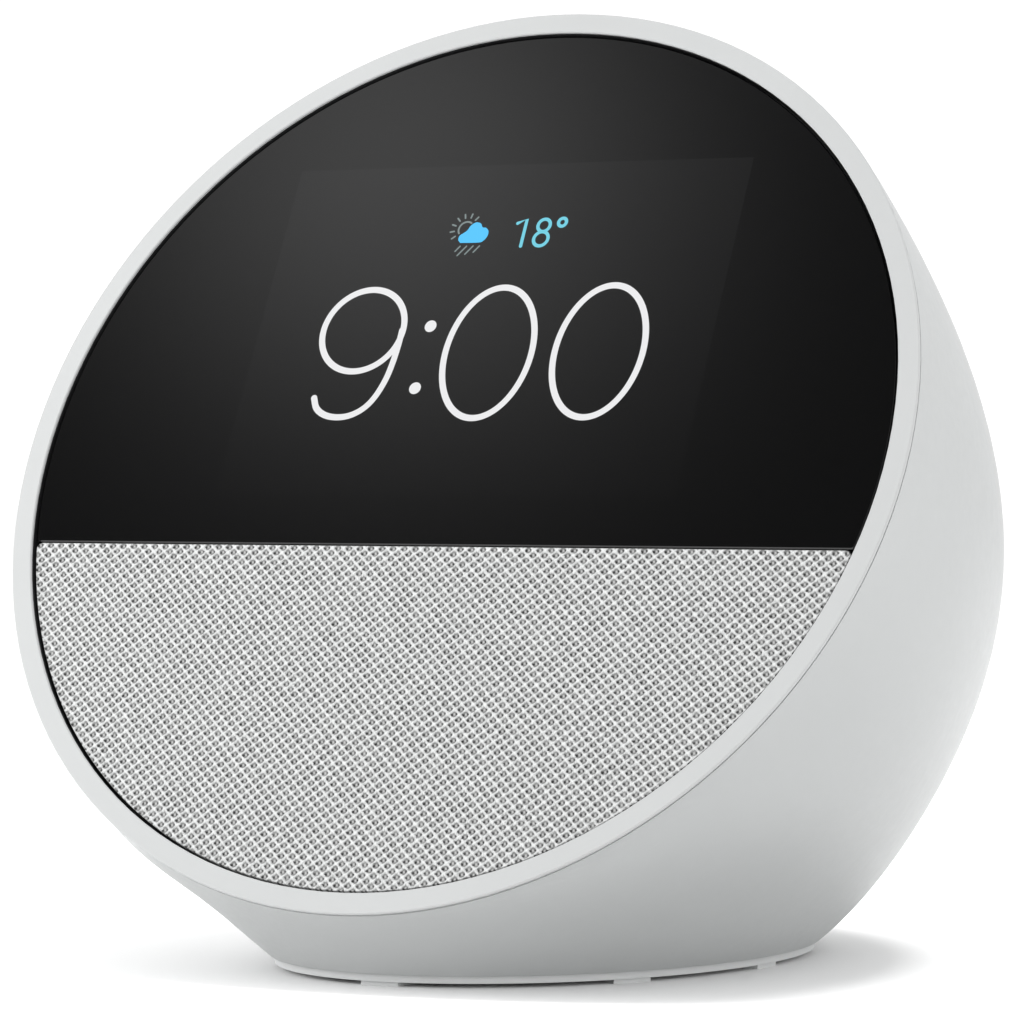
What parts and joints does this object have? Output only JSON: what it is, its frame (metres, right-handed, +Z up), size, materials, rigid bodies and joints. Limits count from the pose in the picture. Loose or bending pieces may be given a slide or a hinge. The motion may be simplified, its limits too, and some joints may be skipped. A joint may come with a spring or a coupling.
{
  "type": "smart display",
  "caption": "Round tabletop smart display: leaning ring-framed face with glass window over knitted speaker cover, keys on top.",
  "frame": {"origin": "on the table, under the middle of the whole body", "axes": "+Z up; the face looks towards -Y and leans back; X runs across the face"},
  "size_m": [0.113, 0.1043, 0.1094],
  "materials": {
    "shell_white": "fine satin moulded plastic",
    "ring_white": "smooth satin moulded plastic",
    "key_white": "satin",
    "foot_grey": "matt elastomer",
    "window_black": "polished black glass",
    "knit_grey": "open three-dimensional knit",
    "moulded_black": "matt",
    "tape": "matt",
    "touch_sensor": "clear",
    "display_module": "gloss",
    "foam": "matt foam",
    "sheet_metal": "plain",
    "magnet_steel": "zinc plated",
    "magnet": "matt",
    "screw_steel": "plain",
    "ribbon": "gloss film",
    "soft_rubber": "matt",
    "cone_paper": "matt pressed fibre",
    "spider_cloth": "stiffened cloth",
    "circuit_green": "solder mask",
    "chip_black": "matt",
    "heat_aluminium": "plain",
    "contact_brass": "plain",
    "lead_black": "matt"
  },
  "bodies": {
    "housing": {"acoustic_chamber": "moulded_black", "antenna_board": "circuit_green", "antenna_cable": "lead_black", "base_plate": "moulded_black", "base_screws": "screw_steel", "board_chips": "chip_black", "board_connectors": "moulded_black", "button_board": "circuit_green", "button_board_screws": "screw_steel", "button_ribbon": "ribbon", "button_switches": "moulded_black", "chamber_screws": "screw_steel", "chassis_screws": "screw_steel", "display_bracket": "sheet_metal", "display_bracket_screws": "screw_steel", "display_cushion": "foam", "display_flex": "ribbon", "display_panel": "display_module", "display_window": "window_black", "foot_ring": "foot_grey", "front_chassis": "moulded_black", "front_ring": "ring_white", "heat_spreader": "heat_aluminium", "main_board": "circuit_green", "main_board_screws": "screw_steel", "microphone_boots": "soft_rubber", "microphones": "chip_black", "power_board": "circuit_green", "power_board_screws": "screw_steel", "power_jack": "moulded_black", "power_jack_pin": "contact_brass", "power_wires": "lead_black", "processor_shield": "sheet_metal", "rear_shell": "shell_white", "speaker_fabric": "knit_grey", "speaker_frame": "sheet_metal", "speaker_gasket": "foam", "speaker_grille": "moulded_black", "speaker_magnet": "magnet", "speaker_screws": "screw_steel", "speaker_surround": "soft_rubber", "speaker_top_plate": "magnet_steel", "speaker_wires": "lead_black", "speaker_yoke": "magnet_steel", "spider": "spider_cloth", "thermal_pad": "foam", "touch_panel": "touch_sensor", "window_adhesive": "tape", "wire_grommet": "soft_rubber"},
    "volume_down_key": {"volume_down_button": "key_white", "volume_down_plunger": "moulded_black"},
    "volume_up_key": {"volume_up_button": "key_white", "volume_up_plunger": "moulded_black"},
    "microphone_off_key": {"microphone_off_button": "key_white", "microphone_off_plunger": "moulded_black"},
    "speaker_diaphragm": {"speaker_cone": "cone_paper", "dust_cap": "cone_paper", "voice_coil": "moulded_black"}
  },
  "joints": [
    {"name": "volume_down_press", "type": "slide", "parent": "housing", "child": "volume_down_key", "axis": [0, -0.6454, -0.7638], "range_m": [0, 0.0005], "stiffness_N_per_m": 2500, "springref_m": -0.0002},
    {"name": "volume_up_press", "type": "slide", "parent": "housing", "child": "volume_up_key", "axis": [0, -0.6454, -0.7638], "range_m": [0, 0.0005], "stiffness_N_per_m": 2500, "springref_m": -0.0002},
    {"name": "microphone_off_press", "type": "slide", "parent": "housing", "child": "microphone_off_key", "axis": [0, -0.6454, -0.7638], "range_m": [0, 0.0005], "stiffness_N_per_m": 2500, "springref_m": -0.0002},
    {"name": "cone_travel", "type": "slide", "parent": "housing", "child": "speaker_diaphragm", "axis": [0, -0.8914, 0.4532], "range_m": [-0.0012, 0.0012], "stiffness_N_per_m": 1200, "deforming": ["speaker_surround", "spider"]}
  ]
}
